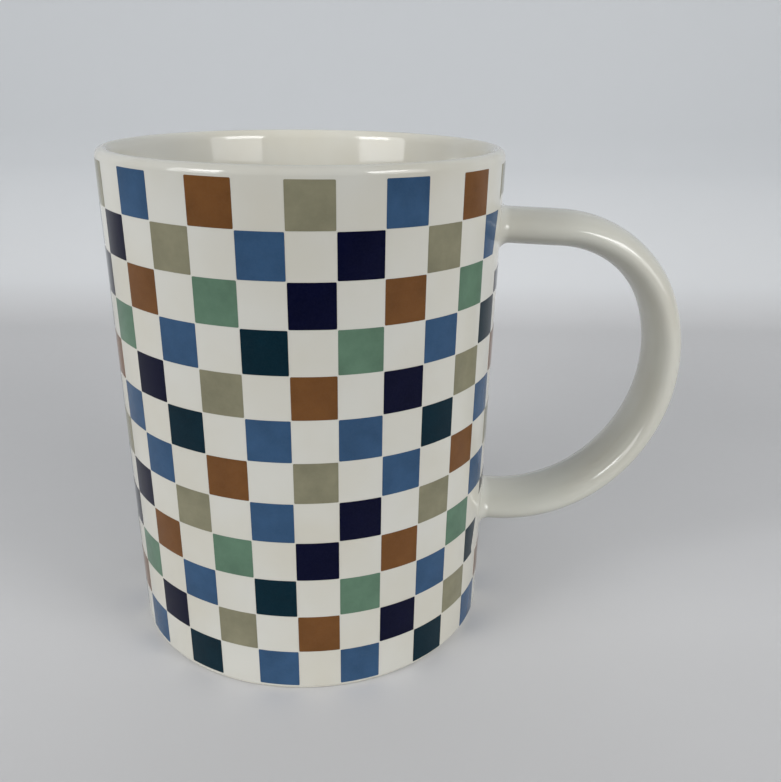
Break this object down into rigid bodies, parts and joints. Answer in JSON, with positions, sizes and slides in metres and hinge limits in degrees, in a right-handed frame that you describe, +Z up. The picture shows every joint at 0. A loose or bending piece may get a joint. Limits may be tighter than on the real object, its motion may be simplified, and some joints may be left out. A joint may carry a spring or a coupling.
{
  "type": "mug",
  "caption": "Straight-sided glazed ceramic mug with a D-shaped loop handle and a check of small printed squares, for drinking hot drinks.",
  "frame": {"origin": "centre of the foot, on the plane the mug stands on", "axes": "+Z up along the cup's axis, +X from the axis towards the handle"},
  "size_m": [0.1281, 0.0852, 0.1086],
  "materials": {
    "clay": "matte",
    "white_glaze": "gloss",
    "blue_ink": "gloss",
    "navy_ink": "gloss",
    "rust_ink": "gloss",
    "taupe_ink": "gloss",
    "sage_ink": "gloss",
    "teal_ink": "gloss"
  },
  "bodies": {
    "root": {"mug_body": "clay", "handle": "clay", "upper_handle_joint": "white_glaze", "lower_handle_joint": "white_glaze", "inner_glaze": "white_glaze", "outer_glaze": "white_glaze", "foot_well_glaze": "white_glaze", "handle_glaze": "white_glaze", "blue_squares": "blue_ink", "navy_squares": "navy_ink", "rust_squares": "rust_ink", "taupe_squares": "taupe_ink", "sage_squares": "sage_ink", "teal_squares": "teal_ink"}
  },
  "joints": []
}
